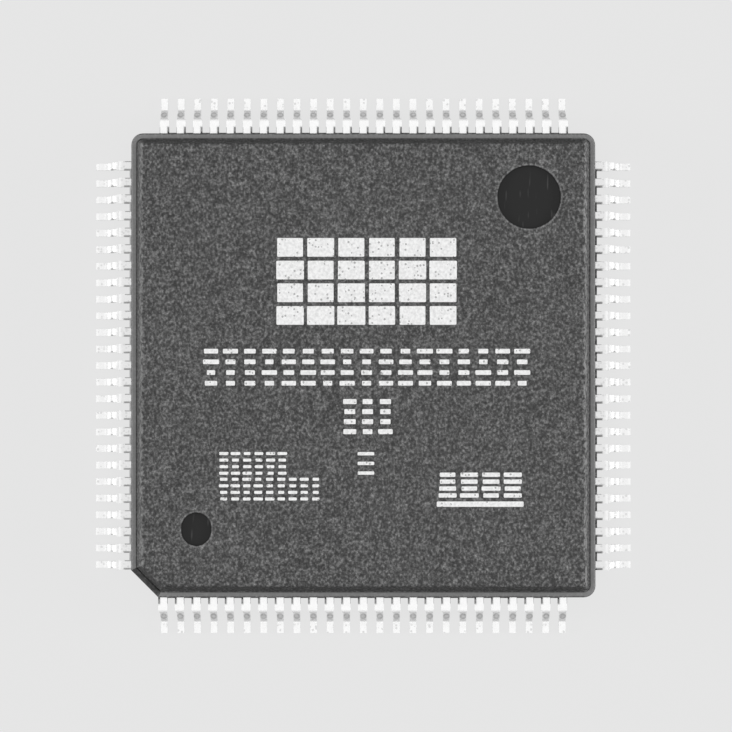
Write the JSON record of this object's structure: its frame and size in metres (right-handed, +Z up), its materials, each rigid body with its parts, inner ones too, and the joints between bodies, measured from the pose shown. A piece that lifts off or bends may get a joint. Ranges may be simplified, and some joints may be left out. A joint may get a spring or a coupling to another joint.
{
  "type": "quad flat pack chip",
  "caption": "Square surface-mount chip package with gull-wing leads along all four sides, for soldering to a circuit board.",
  "frame": {"origin": "middle of the package on the seating plane, which is the underside of the lead feet", "axes": "+Z up out of the marked top face; pin 1 is at the chamfered corner at -X -Y, as the first lead of the -Y side, and pins run anticlockwise seen from above"},
  "size_m": [0.0162, 0.0162, 0.0015],
  "materials": {
    "mould_compound": "matt, finely speckled dark grey epoxy mould compound",
    "tin_plating": "satin matt tin plating on copper alloy",
    "copper_alloy": "bare rolled copper alloy, silver spot under the die",
    "silver_epoxy": "cured silver-filled epoxy",
    "silicon": "polished silicon, opaque",
    "polyimide_tape": "amber polyimide film",
    "gold": "bright drawn gold wire"
  },
  "bodies": {
    "root": {"moulded_body": "mould_compound", "die_paddle": "copper_alloy", "die_attach": "silver_epoxy", "silicon_die": "silicon", "lead_lock_tape": "polyimide_tape", "lead_bank_01": "tin_plating", "lead_bank_02": "tin_plating", "lead_bank_03": "tin_plating", "lead_bank_04": "tin_plating", "lead_bank_05": "tin_plating", "lead_bank_06": "tin_plating", "lead_bank_07": "tin_plating", "lead_bank_08": "tin_plating", "lead_bank_09": "tin_plating", "lead_bank_10": "tin_plating", "lead_bank_11": "tin_plating", "lead_bank_12": "tin_plating", "lead_bank_13": "tin_plating", "lead_bank_14": "tin_plating", "lead_bank_15": "tin_plating", "lead_bank_16": "tin_plating", "lead_bank_17": "tin_plating", "lead_bank_18": "tin_plating", "lead_bank_19": "tin_plating", "lead_bank_20": "tin_plating", "wire_bank_01": "gold", "wire_bank_02": "gold", "wire_bank_03": "gold", "wire_bank_04": "gold", "wire_bank_05": "gold", "wire_bank_06": "gold", "wire_bank_07": "gold", "wire_bank_08": "gold", "wire_bank_09": "gold", "wire_bank_10": "gold", "wire_bank_11": "gold", "wire_bank_12": "gold", "wire_bank_13": "gold", "wire_bank_14": "gold", "wire_bank_15": "gold", "wire_bank_16": "gold", "wire_bank_17": "gold", "wire_bank_18": "gold", "wire_bank_19": "gold", "wire_bank_20": "gold"}
  },
  "joints": []
}
